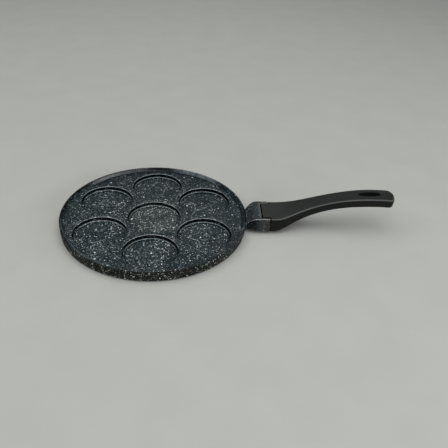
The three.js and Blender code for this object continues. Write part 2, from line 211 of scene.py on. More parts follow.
# Coating: colours, sizes and relief. Four values are a ramp: its start, its end and its value at each
COATING_DARK = (0.0013, 0.0083, 0.0112)
COATING_LIGHT = (0.0064, 0.0181, 0.0232)
COATING_GRAIN = (0.0256, 0.0435, 0.050)
COATING_GRAIN_SHOWS = (0.5, 0.75, 0, 0.5)
# A pale tone: painted highlights on rounds and edges, and real wear on the ridges' tops
COATING_WEAR_AND_HIGHLIGHT = (0.40, 0.46, 0.475)
# Painted shade: near-black for the wells' walls, corners, creases, crests and the seam
COATING_SHADE = (0.0003, 0.0014, 0.0018)
COATING_SHADE_MOST = 0.95
COATING_NECK = (0.0346, 0.037, 0.0413)
COATING_CHEEK = (0.029, 0.029, 0.028)
COATING_OUTSIDE = (0.0158, 0.0168, 0.0148)
COATING_LEFT = (0.056, 0.062, 0.058)  # the outside wall at its left and right
COATING_RIGHT = (0.036, 0.040, 0.037)
OUTSIDE_SHARE = 0.85
MIDDLE_GROUND = (0.047, 0.051, 0.045)  # paler ground about the middle well
MIDDLE_SHARE = (0.14, 0.34)
COATING_MOTTLE_SIZE = 9 * MM
COATING_TEXTURE = (0.9 * MM, 22 * MM)  # sizes of the fine grain and of the waves
COATING_ROUGHNESS = (0.2, 0.32)
COATING_SPECULAR = (0.3, 0.0)  # on top and outside
COATING_RELIEF = 0.05 * MM
RIM_GLOSS = 2.6
# Painted highlight along the bracket's rounded edges and at the seam
BRACKET_HIGHLIGHT = (0.34, 0.325, 0.31)
BRACKET_HIGHLIGHT_SHARE = 0.85
# Patches that break up the painted highlights, and the paler painted light on the rim
HIGHLIGHT_PATCH_SIZE = 6 * MM
HIGHLIGHT_PATCHES = (0.35, 0.6, 0.4, 0.95)
HIGHLIGHT_GRAIN = (0.6, 1.15)
RIM_PALE_HIGHLIGHT = 0.36
RIDGE_WEAR = (0.4, 0.6, 0, 0.4)

# Flecks in the coating
FLECK_COLOUR = (0.76, 0.82, 0.82)
FLECK_OUTSIDE = (0.94, 0.94, 0.87)
FLECK_TONES = (0.3, 1)
FLECK_SIZES = (0.6, 1.2)
FLECK_EDGE = (1.15, 0.7)  # shares of a fleck's radius between which it fades
FLECK_RAGGED_SIZE = 1.6 * MM
FLECK_RAGGEDNESS = 1.2 * MM
FLECK_HEIGHT = 0.4
GROUND_HEIGHT = 0.5
FLECK_PATCH_SIZE = 26 * MM
FLECK_PATCHES = (0.65, 1.4)
FLECK_ALONG_X = (-60 * MM, 110 * MM, 1.05, 0.75)  # they thin out from left to right
FLECK_ALONG_Y = (-100 * MM, 100 * MM, 1.14, 0.78)  # and from front to back
MIDDLE_CROWD = 1.5  # and lie closer about the middle well
# Dust, flecks and chips: spacing of the cells, radius, share of the cells that hold one, strength
FLECK_LAYERS = (
    (1.3 * MM, 0.57 * MM, 0.5, 0.22),
    (2.1 * MM, 0.70 * MM, 0.34, 0.9),
    (6.5 * MM, 1.15 * MM, 0.3, 1.0),
)
# Shares of the flecks that these places catch
SHADED_SPRAY = 0.2
BRACKET_SPRAY = 0.5
RIM_SPRAY = 0.35
BORDER_SPRAY = 0.6

# Masks of the coating: what each is read from, and where it rises from 0 to 1 or between two shares
WELL_MIDDLE = off(BASE_THICKNESS + WELL_DEPTH / 2, -0.3, 0.3)
UPPER_ROUND_LAG = 0.16  # the upper rounds count as steeper than the lower ones
RELIEF_CLEAR = 1.3 * RELIEF_RADIUS
RIM_SIDE_SHARE = 0.3  # at its front and sides the rim keeps about this share of its painted shade, its gloss and its sparser flecks
COATING_RAMPS = {
    "level": ("facing z", 0.35, 0.75),
    "steep": ("facing z", 0.75, 0.35),
    "off level": ("facing z", 0.998, 0.94),
    "ridge top": ("facing z", 0.88, 0.95),
    "round": ("slope", 0.48, 0.74),
    "round share": ("z", *WELL_MIDDLE, 0.45, 0.9),
    "well steep": ("slope", 0.7, 0.4),
    "leaning front": ("facing y", -0.04, -0.3),
    "facing front": ("facing y", -0.12, -0.42),
    "facing back": ("facing y", 0.05, 0.2),
    "facing right": ("facing x", 0.02, 0.15),
    "facing handle": ("facing x", 0.2, 0.5),
    "left": ("x", -65 * MM, -110 * MM),
    "right": ("x", 65 * MM, 110 * MM),
    "far left": ("x", -85 * MM, -115 * MM, 0, 0.75),
    "far right": ("x", 85 * MM, 115 * MM, 0, 0.12),
    "front": ("y", -30 * MM, -80 * MM),
    "half front": ("y", -20 * MM, -50 * MM),
    "back": ("y", 40 * MM, 100 * MM),
    "before seam": ("x", *off(SEAM_X, -4, -9)),
    "past neck": ("x", *off(SEAM_X, -1.2, -0.6)),
    "along cheeks": ("x", *off(SEAM_X, -5, -1)),
    "neck width": ("across", *off(NECK_HALF_WIDTH, 4, 2)),
    "between cheeks": ("across", *off(POCKET_HALF_WIDTH, 1.1, 0.5)),
    "middle": ("reach", 50 * MM, 16 * MM),
    "bracket": ("reach", *off(PAN_RADIUS, 0, 1.5)),
    "above floors": ("z", *off(BASE_THICKNESS, 0.1, 0.5)),
    "foot": ("z", *off(PLATE_Z, 1.8, 1.2)),
    "high": ("z", *off(RIM_Z, -4, -3)),
    "lip": ("z", *off(RIM_Z, -1.2, -0.8)),
    "crest": ("z", *off(RIM_Z, -0.6, -0.1)),
    "above cradle": ("z", *off(CRADLE_FLOOR_TOP, -1, -0.4)),
}
# Masks that lie between two places: what each is read from, the places, and how far it fades at them
COATING_BANDS = {
    "tilted": ("facing z", 0.6, 0.94, 0.04),
    "well foot": ("from well", *off(WELL_FLOOR_RADIUS, -3.6, -1.7), 0.4 * MM),
    "ridge": ("z", *off(BASE_THICKNESS, 0.32, 0.9), 0.06 * MM),
    "border": ("reach", *off(DISH_FLOOR_RADIUS, -8, 4), 4 * MM),
    "corner": ("reach", *off(DISH_FLOOR_RADIUS, 0.1, 1.9), 0.3 * MM),
    "ring": ("reach", DISH_FLOOR_RADIUS + 1.6 * MM, PAN_RADIUS + 0.5 * MM, 0.4 * MM),
    "pale ring": ("reach", DISH_FLOOR_RADIUS + 1.8 * MM, PAN_RADIUS + 0.5 * MM, 0.4 * MM),
    "edge": ("reach", *off(PAN_RADIUS, -4.2, 0.4), 0.5 * MM),
    "groove": ("reach", *off(PAN_RADIUS, -2.2, -0.1), 0.4 * MM),
    "wall": ("reach", *off(PAN_RADIUS, -1, 1), 0.4 * MM),
    "root": ("reach", *off(PAN_RADIUS, 0.5, 1.8), 0.3 * MM),
    "near seam": ("x", *off(SEAM_X, -3.3, -0.9), 0.5 * MM),
    "half right": ("x", 28 * MM, 88 * MM, 10 * MM),
    "half left": ("x", -105 * MM, -55 * MM, 10 * MM),
    "mid": ("x", -18 * MM, 22 * MM, 8 * MM),
}
# Zones of the coating: each lies where all its masks meet
COATING_ZONES = {
    "well wall": ("plate", "well steep"),
    "well rounds": ("plate", "round", "round share", "off level", "off relief", "leaning front"),
    "well foot": ("plate", "well foot"),
    "ridges": ("plate", "ridge", "ridge top"),
    "middle": ("plate", "middle"),
    "back land": ("plate", "above floors", "back"),
    "border": ("border", "inland"),
    "rim": ("ring", "away"),
    "rim foot": ("corner", "away", "foot"),
    "rim crest": ("ring", "away", "crest"),
    "rim sides": ("edge", "high", "far sides"),
    "rim lip": ("lip", "tilted", "facing back", "facing right"),
    "rim pale": ("pale ring", "half right", "back half"),
    "back crest": ("edge", "high", "mid", "back half"),
    "left crest": ("lip", "half left", "half front"),
    "outside": ("steep", "wall"),
    "left": ("left",),
    "right": ("right",),
    "bracket": ("bracket",),
    "bracket edges": ("bracket", "tilted", "facing out"),
    "neck groove": ("neck width", "handle half", "groove"),
    "neck root": ("neck width", "handle half", "root"),
    "neck side": ("bracket", "steep", "before seam"),
    "cheeks": ("steep", "along cheeks"),
    "seam lip": ("level", "between cheeks", "near seam"),
    "seam": ("between cheeks", "past neck", "above cradle"),
}
# Painted shade in these zones, as shares: on the wells' walls and feet, in the rim's corner, along crests
# and creases, on the neck's side, at the seam, and a little towards the back of the plate
SHADE_ZONES = {
    "well wall": 1,
    "well foot": 0.6,
    "back land": 0.2,
    "rim foot": 0.8,
    "rim crest": 0.5,
    "rim sides": 1,
    "back crest": 0.85,
    "neck groove": 0.92,
    "neck side": 0.65,
    "seam": 1,
}
# Painted highlights on the rim's lip and crest and at the neck's root, as shares
HIGHLIGHT_ZONES = {"rim lip": 0.4, "left crest": 0.035, "neck root": 0.13}
# Tints of the neck and the cheeks, and a painted highlight on the lip at the seam
TINTED_ZONES = {
    "bracket": (0.3, COATING_NECK),
    "cheeks": (0.8, COATING_CHEEK),
    "seam lip": (0.13, BRACKET_HIGHLIGHT),
}

# Handle: colours, relief and masks
PHENOLIC_DARK = (0.0043, 0.0050, 0.0042)
PHENOLIC_LIGHT = (0.0069, 0.0078, 0.0067)
PHENOLIC_WORN_AND_LIT = (0.0274, 0.0299, 0.0283)  # on top, partly worn by handling and partly painted light, as the top is lit more than the sides
PHENOLIC_EDGE_HIGHLIGHT = (0.13, 0.134, 0.13)  # painted highlight along the near top edge
PHENOLIC_HIGHLIGHT_SHARE = 0.6
PHENOLIC_SEAM_SHADE = (0.0015, 0.0015, 0.0014)  # painted shade along the seam with the casting
PHENOLIC_STIPPLE = (0.78, 1.2)
PHENOLIC_STREAKS = (0.9, 1.1)
PHENOLIC_ROUGHNESS = (0.32, 0.44)
PHENOLIC_SPECULAR = 0.2
PHENOLIC_TEXTURE = (0.45 * MM, 14 * MM)
PHENOLIC_RELIEF = 0.05 * MM
FLOW_SIZE = 9 * MM
FLOW_STRETCH = (0.25, 1, 1)
HANDLE_RAMPS = {
    "top": ("facing z", 0.2, 0.8),
    "not back": ("facing y", 0.5, 0.15),
    "not end": ("facing x", 0.6, 0.3),
    # the top's paler tone of wear and painted light is strongest near the root and fades along the handle
    "held": ("x", *off(HANDLE_START_X, 15, 55), 1.0, 0.55),
    "near side": ("facing y", 0.1, -0.15),
    "below": ("facing z", -0.1, -0.5, 1, 0.3),
    "start": ("x", *off(HANDLE_START_X, 1.9, 1.3)),
    "by cheeks": ("x", *off(CHEEK_END_X, 2, 1.5)),
    "sides": ("across", *off(POCKET_HALF_WIDTH, -1.5, -1)),
    "underside": ("z", *off(CRADLE_FLOOR_TOP, 0.9, 0.4)),
    "upper": ("z", *off(BRACKET_TOP, -8, -3), 0.05, 1),
}
HANDLE_BANDS = {"edge": ("facing z", 0.5, 0.9, 0.05)}

# Metals: bright colour, dull colour and range of roughness
ALUMINIUM = ((0.60, 0.61, 0.62), (0.46, 0.46, 0.46), (0.3, 0.42))
ZINC = ((0.62, 0.63, 0.64), (0.48, 0.47, 0.44), (0.28, 0.4))
BRASS = ((0.62, 0.44, 0.18), (0.45, 0.30, 0.12), (0.3, 0.45))
METAL_TEXTURE = (0.35 * MM, 16 * MM)
METAL_STAINS = (0.4, 0.7)
METAL_RELIEF = 0.012 * MM
TURNING_PITCH = 0.8 * MM
TURNING_GRAIN = 0.3
TURNING_WOBBLE = 0.6
RING_SCALE = math.tau / 20  # spacing of a wave texture's rings at scale 1

FLOOR_DARK = (0.482, 0.492, 0.467)
FLOOR_LIGHT = (0.498, 0.508, 0.483)
FLOOR_CLOUD_SIZE = 60 * MM
FLOOR_ROUGHNESS = 0.9
FLOOR_SPECULAR = 0.1
FLOOR_SIZE = 8

# Camera and lights
CAMERA_TARGET = Vector((99.443 * MM, -0.151 * MM, 0))
CAMERA_DISTANCE = 854.43 * MM
CAMERA_ELEVATION = math.radians(34.866)
CAMERA_AZIMUTH = math.radians(-3.675)
CAMERA_ROLL = math.radians(2.951)
CAMERA_LENS = 47.94  # millimetres on a 36 mm sensor
CAMERA_NEAR = 10 * MM
LIGHT_TARGET = Vector((0.05, 0, 0))
BACKDROP_TARGET = Vector((0.1, 1.05, 0))
# Soft lights: place, size, power and what each points at
LIGHTS = {
    "key_light": (Vector((1.0, -0.3, 1.9)), (1.6, 2.6), 2, LIGHT_TARGET),
    "ceiling_light": (Vector((-0.15, -0.3, 1.65)), (3.0, 2.4), 32.5, LIGHT_TARGET),
    "side_light": (Vector((1.55, -1.2, 0.65)), (2.6, 0.5), 17, LIGHT_TARGET),
    "back_light": (Vector((0.1, 2.2, 1.5)), (2.4, 1.0), 0.9, LIGHT_TARGET),
    "backdrop_light": (Vector((0.1, 1.05, 0.75)), (0.6, 0.3), 0.25, BACKDROP_TARGET),
}
SKY_COLOUR = (0.15, 0.153, 0.15)


# Tools

def deselect():
    bpy.ops.object.select_all(action="DESELECT")


def make_active(piece):
    deselect()
    piece.select_set(True)
    bpy.context.view_layer.objects.active = piece


def named(name):
    """Names the object that was just added."""
    piece = bpy.context.object
    piece.name = name
    piece.data.name = name
    return piece


def edit(piece):
    make_active(piece)
    bpy.ops.object.mode_set(mode="EDIT")
    bpy.ops.mesh.select_mode(type="VERT")
    bpy.ops.mesh.select_all(action="DESELECT")


def done():
    bpy.ops.object.mode_set(mode="OBJECT")


def face_outwards():
    """Merges the doubles of the piece in edit mode and points its faces outwards."""
    bpy.ops.mesh.select_all(action="SELECT")
    bpy.ops.mesh.remove_doubles(threshold=WELD)
    bpy.ops.mesh.normals_make_consistent(inside=False)


def pick(kind, wanted):
    """Selects the edges or the faces of the piece in edit mode that pass a test."""
    bpy.ops.mesh.select_mode(type=kind)
    bpy.ops.mesh.select_all(action="DESELECT")
    mesh = bmesh.from_edit_mesh(bpy.context.object.data)
    mesh.normal_update()
    for element in mesh.edges if kind == "EDGE" else mesh.faces:
        if wanted(element):
            element.select_set(True)
    bmesh.update_edit_mesh(bpy.context.object.data)


def each_point():
    """The points of the piece in edit mode, to be moved one by one."""
    mesh = bmesh.from_edit_mesh(bpy.context.object.data)
    yield from mesh.verts
    bmesh.update_edit_mesh(bpy.context.object.data)


def round_edges(radius, wanted, steps=ROUND_STEPS):
    """Rounds the edges of the piece in edit mode that pass a test."""
    pick("EDGE", wanted)
    bpy.ops.mesh.bevel(offset=radius, segments=steps, affect="EDGES", loop_slide=False, clamp_overlap=False)


def combine(piece, other, operation):
    """Joins another body to a piece, or cuts it out, and takes the other body away."""
    make_active(piece)
    modifier = piece.modifiers.new(operation.lower(), "BOOLEAN")
    modifier.operation = operation
    modifier.solver = "EXACT"
    modifier.object = other
    bpy.ops.object.modifier_apply(modifier=modifier.name)
    bpy.data.objects.remove(other)
    return piece


def joined(pieces):
    """Makes several bodies one, under the first one's name."""
    deselect()
    for piece in pieces:
        piece.select_set(True)
    bpy.context.view_layer.objects.active = pieces[0]
    bpy.ops.object.join()
    return pieces[0]


def add_to(piece, other):
    return combine(piece, other, "UNION")


def cut_from(piece, other):
    return combine(piece, other, "DIFFERENCE")


def arc(x, z, radius, start, end, steps=ARC_STEPS):
    """Points of an arc in an outline of radius and height, from one angle to another in degrees."""
    points = []
    for i in range(steps + 1):
        angle = math.radians(start + (end - start) * i / steps)
        points.append((x + radius * math.cos(angle), z + radius * math.sin(angle)))
    return points


def turned(name, outline, facets, x=0.0):
    """A body of revolution about an upright line: a chain of extruded points, spun round."""
    deselect()
    bpy.ops.mesh.primitive_plane_add(size=MM)
    piece = named(name)
    bpy.ops.object.mode_set(mode="EDIT")
    bpy.ops.mesh.select_mode(type="VERT")
    bpy.ops.mesh.merge(type="CENTER")
    radius, height = outline[0]
    bpy.ops.transform.translate(value=(x + radius, 0, height))
    for here, there in zip(outline, outline[1:]):
        step = (there[0] - here[0], 0, there[1] - here[1])
        bpy.ops.mesh.extrude_vertices_move(TRANSFORM_OT_translate={"value": step})
    bpy.ops.mesh.select_all(action="SELECT")
    bpy.ops.mesh.spin(steps=facets, angle=math.tau, center=(x, 0, 0), axis=(0, 0, 1))
    face_outwards()
    done()
    return piece


def block(name, low, high):
    """A plain box between two corners, for cutting."""
    low, high = Vector(low), Vector(high)
    deselect()
    bpy.ops.mesh.primitive_cube_add(size=1, location=(low + high) / 2)
    piece = named(name)
    piece.scale = high - low
    bpy.ops.object.transform_apply()
    return piece


def tongue_block(name, low, high):
    """A box for the tongue or its pocket, with rounded upright edges at its end towards the pan."""
    piece = block(name, low, high)
    edit(piece)
    round_edges(POCKET_CORNER, lambda edge: upright(edge) and edge.verts[0].co.x < low[0] + NEAR)
    done()
    return piece


def post(name, x, radius, low, high):
    """A plain round bar about an upright line, for cutting."""
    return turned(name, [(0, low), (radius, low), (radius, high), (0, high)], SMALL_FACETS, x)


def bar(name, stations):
    """A square-edged bar along X: an upright plane, extruded and resized from station to station.

    A station is x, half width, bottom and top.
    """
    x, half, low, high = stations[0]
    deselect()
    bpy.ops.mesh.primitive_plane_add(size=1, rotation=(0, math.pi / 2, 0), location=(x, 0, (low + high) / 2))
    piece = named(name)
    piece.scale = (high - low, 2 * half, 1)
    bpy.ops.object.transform_apply()
    bpy.ops.object.mode_set(mode="EDIT")
    bpy.ops.mesh.select_mode(type="FACE")
    bpy.ops.mesh.select_all(action="SELECT")
    for (x0, half0, low0, high0), (x1, half1, low1, high1) in zip(stations, stations[1:]):
        middle = (low1 + high1) / 2
        step = (x1 - x0, 0, middle - (low0 + high0) / 2)
        bpy.ops.mesh.extrude_region_move(TRANSFORM_OT_translate={"value": step})
        grow = (1, half1 / half0, (high1 - low1) / (high0 - low0))
        bpy.ops.transform.resize(value=grow, center_override=(x1, 0, middle))
    face_outwards()
    done()
    return piece


def rise(start, end, ease):
    """A smooth rise or fall from one level place to another, as a height for each x."""
    (x0, z0), (x1, z1) = start, end
    leave, arrive = ease

    def along(t):
        return 3 * t * (1 - t) ** 2 * leave + 3 * t * t * (1 - t) * (1 - arrive) + t ** 3

    def height(x):
        if x <= x0:
            return z0
        if x >= x1:
            return z1
        low, high = 0.0, 1.0
        for _ in range(HALVINGS):
            middle = (low + high) / 2
            if along(middle) < (x - x0) / (x1 - x0):
                low = middle
            else:
                high = middle
        return z0 + (z1 - z0) * (3 * low * low - 2 * low ** 3)

    return height


def spread(start, end, count):
    return [start + (end - start) * i / (count - 1) for i in range(count)]


def top_border(edge, up=1):
    """True for an edge where an upward face meets a side or end face."""
    level = [face.normal.z * up > LEVEL_FACE for face in edge.link_faces]
    return len(level) == 2 and level[0] != level[1]


def bottom_border(edge):
    return top_border(edge, -1)


def finish_mesh(piece):
    """Smooth shading that keeps flat faces flat."""
    make_active(piece)
    bpy.ops.object.mode_set(mode="EDIT")
    bpy.ops.mesh.select_all(action="SELECT")
    bpy.ops.mesh.dissolve_degenerate(threshold=WELD)
    bpy.ops.object.mode_set(mode="OBJECT")
    bpy.ops.object.shade_smooth_by_angle(angle=SMOOTH_ANGLE)
    modifier = piece.modifiers.new("even_normals", "WEIGHTED_NORMAL")
    modifier.keep_sharp = True
    bpy.ops.object.modifier_apply(modifier=modifier.name)


# Casting

def base_outline():
    """The turned base with its shallow rings, from the middle to the coated corner."""
    points = [(0, 0)]
    for i in range(GROOVE_COUNT):
        inner = GROOVE_FIRST + i * GROOVE_PITCH
        outer = inner + GROOVE_WIDTH
        points += [
            (inner, 0),
            (inner + GROOVE_DEPTH, GROOVE_DEPTH),
            (outer - GROOVE_DEPTH, GROOVE_DEPTH),
            (outer, 0),
        ]
    return points + [(BASE_RADIUS, 0), (BASE_RADIUS + BASE_STEP, BASE_STEP)]


def dish_and_rim():
    """The turned dish: base, wall, rim and plate."""
    lean = math.radians(RIM_LEAN_ANGLE)
    fillet_z = PLATE_Z + DISH_FILLET
    inner_foot = DISH_FLOOR_RADIUS + DISH_FILLET * math.cos(lean)
    climb = (RIM_Z - RIM_ROUND + RIM_ROUND * math.sin(lean)) - (fillet_z - DISH_FILLET * math.sin(lean))
    inner_top = inner_foot + climb * math.tan(lean) + RIM_ROUND * math.cos(lean)
    outline = base_outline()
    outline += arc(CORNER_RADIUS, BASE_CORNER + BASE_STEP, BASE_CORNER, -90, 0)
    outline += arc(PAN_RADIUS - RIM_ROUND, RIM_Z - RIM_ROUND, RIM_ROUND, 0, 90)
    outline += arc(inner_top, RIM_Z - RIM_ROUND, RIM_ROUND, 90, 180 - RIM_LEAN_ANGLE)
    outline += arc(DISH_FLOOR_RADIUS, fillet_z, DISH_FILLET, -RIM_LEAN_ANGLE, -90)
    outline.append((0, PLATE_Z))
    return turned("pan_body_visual", outline, PAN_FACETS)


def well_space():
    """The space of one well, at the middle of the pan."""
    lean_angle = math.degrees(math.atan2(WELL_LEAN, WELL_DEPTH - WELL_FLOOR_FILLET - WELL_EDGE_ROUND))
    flat = WELL_FLOOR_RADIUS - WELL_FLOOR_FILLET
    edge_z = PLATE_Z - WELL_EDGE_ROUND + EDGE_LIFT
    outline = [(0, BASE_THICKNESS)]
    outline += arc(flat, BASE_THICKNESS + WELL_FLOOR_FILLET, WELL_FLOOR_FILLET, -90, -lean_angle)
    outline += arc(WELL_EDGE_RADIUS, edge_z, WELL_EDGE_ROUND, 180 - lean_angle, 90)
    outline += [(WELL_EDGE_RADIUS, PLATE_Z + PAST), (0, PLATE_Z + PAST)]
    return turned("well_space", outline, WELL_FACETS)


def well_places():
    """Middle of each well in the ring; the handle lies between two of them."""
    angles = [math.tau * (i + 0.5) / WELL_COUNT for i in range(WELL_COUNT)]
    return [Vector((WELL_RING_RADIUS * math.cos(a), WELL_RING_RADIUS * math.sin(a), 0)) for a in angles]


def all_wells():
    """The spaces of the seven wells as one cutter."""
    first = well_space()
    copies = [first]
    for place in well_places():
        make_active(first)
        bpy.ops.object.duplicate()
        copy = bpy.context.object
        copy.location = place
        bpy.ops.object.transform_apply()
        copies.append(copy)
    return joined(copies)


def lobes(count, depth, sharpness=1.0):
    """A closed outline with a number of lobes, as a place for each angle."""
    def outline(angle):
        reach = 1 - depth + depth * (0.5 + 0.5 * math.cos(count * (angle - math.pi / 2))) ** sharpness
        return reach * math.cos(angle), reach * math.sin(angle)

    return outline


def drop(angle):
    """A drop with its narrow end up."""
    narrow, wider = DROP_WIDTHS
    return math.sin(angle) * (narrow + wider * math.sin(angle / 2) ** 2), math.cos(angle)


def leaf(angle):
    """A narrow leaf that leans to one side."""
    side = LEAF_WIDTH * math.sin(angle) * (1 - LEAF_POINTS * math.cos(angle) ** 2)
    along = math.cos(angle)
    c, s = LEAF_LEAN
    return c * side + s * along, c * along - s * side


def ridge(outline, size, place):
    """A raised line on a well's floor, along a closed outline."""
    deselect()
    bpy.ops.mesh.primitive_circle_add(vertices=RELIEF_POINTS, radius=size)
    piece = named("ridge")
    for i, vert in enumerate(piece.data.vertices):
        x, y = outline(math.tau * i / RELIEF_POINTS)
        vert.co = (size * x, size * y, 0)
    bpy.ops.object.convert(target="CURVE")
    piece.data.bevel_depth = RIDGE_HALF_WIDTH
    piece.data.bevel_resolution = RIDGE_STEPS
    bpy.ops.object.convert(target="MESH")
    edit(piece)
    face_outwards()
    done()
    piece.scale.z = RIDGE_HEIGHT / RIDGE_HALF_WIDTH
    piece.location = place + Vector((0, 0, BASE_THICKNESS - RIDGE_SUNK))
    bpy.ops.object.transform_apply()
    return piece


def relief():
    """A plain figure in each outer well: a raised line, mostly with another within it."""
    circle = lobes(1, 0)
    figures = (
        ((lobes(5, 0.45, 1.6), 1), (circle, 0.42)),
        ((drop, 1), (circle, 0.25)),
        ((lobes(8, 0.22), 1), (circle, 0.42)),
        ((leaf, 1),),
        ((lobes(6, 0.3), 1), (circle, 0.36)),
        ((lobes(4, 0.42), 1), (circle, 0.36)),
    )
    lines = []
    for place, figure in zip(well_places(), figures):
        for outline, share in figure:
            lines.append(ridge(outline, share * RELIEF_RADIUS, place))
    return joined(lines)


def bracket():
    """Neck and cradle: a bar that climbs from the wall, widens and ends in two cheeks with a floor."""
    top = rise((NECK_RISE_START, NECK_TOP), (NECK_RISE_END, BRACKET_TOP), NECK_EASE)
    side = rise((NECK_RISE_START, NECK_HALF_WIDTH), (NECK_RISE_END, BRACKET_HALF_WIDTH), NECK_EASE)
    cheek_x = SEAM_X + 2 * EDGE_CLEAR
    under = rise((NECK_RISE_START, NECK_BOTTOM), (cheek_x, BRACKET_BOTTOM), NECK_UNDERSIDE_EASE)
    places = spread(PAN_RADIUS - NECK_ROOT, SEAM_X - EDGE_CLEAR, NECK_STATIONS)
    places += spread(cheek_x, CHEEK_END_X, CHEEK_STATIONS)
    piece = bar("bracket", [(x, side(x), under(x), top(x)) for x in places])
    edit(piece)
    round_edges(BRACKET_UPPER_ROUND, lambda edge: top_border(edge) and along_x(edge))
    round_edges(BRACKET_LOWER_ROUND, lambda edge: bottom_border(edge) and along_x(edge))
    done()
    cut_from(piece, tongue_block(
        "pocket",
        (SEAM_X, -POCKET_HALF_WIDTH, CRADLE_FLOOR_TOP),
        (CHEEK_END_X + PAST, POCKET_HALF_WIDTH, BRACKET_TOP + PAST),
    ))
    edit(piece)
    round_edges(BRACKET_EDGE_ROUND, cradle_edge)
    done()
    low = BRACKET_BOTTOM - PAST
    cut_from(piece, post("screw_hole", SCREW_X, SCREW_HOLE_RADIUS, low, CRADLE_FLOOR_TOP + PAST))
    cut_from(piece, post("counterbore", SCREW_X, COUNTERBORE_RADIUS, low, washer_high.z))
    return piece


def ends(edge):
    return [vert.co for vert in edge.verts]


def along_x(edge):
    a, b = ends(edge)
    return abs(a.x - b.x) > NEAR


def upright(edge):
    a, b = ends(edge)
    return math.hypot(a.x - b.x, a.y - b.y) < NEAR


def cradle_edge(edge):
    """True for the edges of the pocket's mouth and of the cheeks' ends."""
    a, b = ends(edge)
    at_end = min(a.x, b.x) > CHEEK_END_X - NEAR
    at_mouth = min(a.x, b.x) > SEAM_X - NEAR and max(abs(a.y), abs(b.y)) < POCKET_HALF_WIDTH + NEAR
    return at_end or (at_mouth and top_border(edge) and min(a.z, b.z) > BRACKET_TOP - NEAR)


def bare_base(piece):
    """Gives the turned base the piece's second material."""
    def on_base(face):
        middle = face.calc_center_median()
        inside = math.hypot(middle.x, middle.y) < BASE_RADIUS + BASE_STEP
        return inside and middle.z < BASE_STEP and face.normal.z < BASE_FACE

    edit(piece)
    pick("FACE", on_base)
    piece.active_material_index = 1
    bpy.ops.object.material_slot_assign()
    done()


def pan_body():
    piece = dish_and_rim()
    add_to(piece, bracket())
    cut_from(piece, all_wells())
    add_to(piece, relief())
    finish_mesh(piece)
    return piece


# Handle

handle_top = rise((TOP_RISE_X, BRACKET_TOP), (GRIP_X, GRIP_TOP), TOP_EASE)
handle_under = rise((NARROW_X, BRACKET_BOTTOM), (GRIP_X, GRIP_TOP - GRIP_THICKNESS), UNDERSIDE_EASE)
handle_narrow = rise((NARROW_X, ROOT_HALF_WIDTH), (WAIST_X, WAIST_HALF_WIDTH), NARROW_EASE)
handle_widen = rise((WAIST_X, 0), (GRIP_X, GRIP_HALF_WIDTH - WAIST_HALF_WIDTH), WIDEN_EASE)
handle_crown = rise((NARROW_X, 0), (GRIP_X, CROWN), CROWN_EASE)


def end_share(x):
    """The end's outline in plan: half width as a share of the grip's."""
    reach = max(0, (x - (HANDLE_END_X - END_CAP)) / END_CAP)
    return (1 - min(1, reach) ** END_ROUNDNESS) ** (1 / END_ROUNDNESS)


def handle_station(x):
    """Half width, bottom and top of the handle at a place along it."""
    droop = GRIP_DROOP * max(0, (x - GRIP_X) / (HANDLE_END_X - GRIP_X)) ** 2
    half = (handle_narrow(x) + handle_widen(x)) * end_share(x)
    return half, handle_under(x) - droop, handle_top(x) - droop


def handle_middle(x):
    _, low, high = handle_station(x)
    return (low + high) / 2


def handle_places():
    """Where the bar has its stations: close together along the slot and round the end."""
    cap_x = HANDLE_END_X - END_CAP
    mouth = SLOT_LENGTH / 2 + SLOT_MARGIN
    places = [HANDLE_START_X - STOCK]
    places += spread(NARROW_X, SLOT_X - mouth, HANDLE_STATIONS)
    places += spread(SLOT_X - mouth, SLOT_X + mouth, SLOT_STATIONS)[1:]
    places += spread(SLOT_X + mouth, cap_x, END_STATIONS)[1:]
    reach = math.asin(END_FLAT)
    places += [cap_x + END_CAP * math.sin(reach * i / CAP_STATIONS) for i in range(1, CAP_STATIONS + 1)]
    return places


def handle():
    piece = bar("handle_visual", [(x, *handle_station(x)) for x in handle_places()])
    edit(piece)
    slant_end()
    round_edges(HANDLE_UPPER_ROUND, lambda edge: top_border(edge) and past_start(edge))
    round_edges(HANDLE_LOWER_ROUND, lambda edge: bottom_border(edge) and past_start(edge))
    pick("EDGE", across)
    bpy.ops.mesh.subdivide(number_cuts=COLUMNS - 1)
    crown_and_bulge()
    open_slot()
    done()
    refine(piece)
    cut_tongue(piece)
    radius = (insert_high.x - insert_low.x) / 2 + FIT_GAP
    cut_from(piece, post("insert_place", SCREW_X, radius, insert_low.z - PAST, insert_high.z + FIT_GAP))
    finish_mesh(piece)
    return piece


def past_start(edge):
    return max(v.co.x for v in edge.verts) > HANDLE_START_X


def across(edge):
    """True for an edge that runs across the handle, from one side to the other."""
    a, b = ends(edge)
    return abs(a.y - b.y) > ACROSS_LEAST and abs(a.x - b.x) < NEAR and abs(a.z - b.z) < NEAR


def slant_end():
    """Draws the underside of the rounded end back."""
    cap_x = HANDLE_END_X - END_CAP
    for vert in each_point():
        if vert.co.x > cap_x and vert.co.z < handle_middle(vert.co.x):
            vert.co.x -= END_SLANT * (vert.co.x - cap_x) / END_CAP


def crown_and_bulge():
    """Lifts the top along its middle and carries the end's outline across its flat."""
    flat_x = HANDLE_END_X - END_CAP * (1 - END_FLAT)
    flat_half = handle_station(flat_x)[0]
    for vert in each_point():
        x, y, z = vert.co
        half = handle_station(min(x, flat_x))[0] - HANDLE_UPPER_ROUND
        if z > handle_middle(x) and abs(y) < half:
            vert.co.z += handle_crown(x) * end_share(min(x, flat_x)) * (1 - (y / half) ** 2)
        if vert.normal.x > END_FACE and abs(y) < flat_half:
            vert.co.x += (HANDLE_END_X - flat_x) * (1 - (abs(y) / flat_half) ** END_ROUNDNESS)


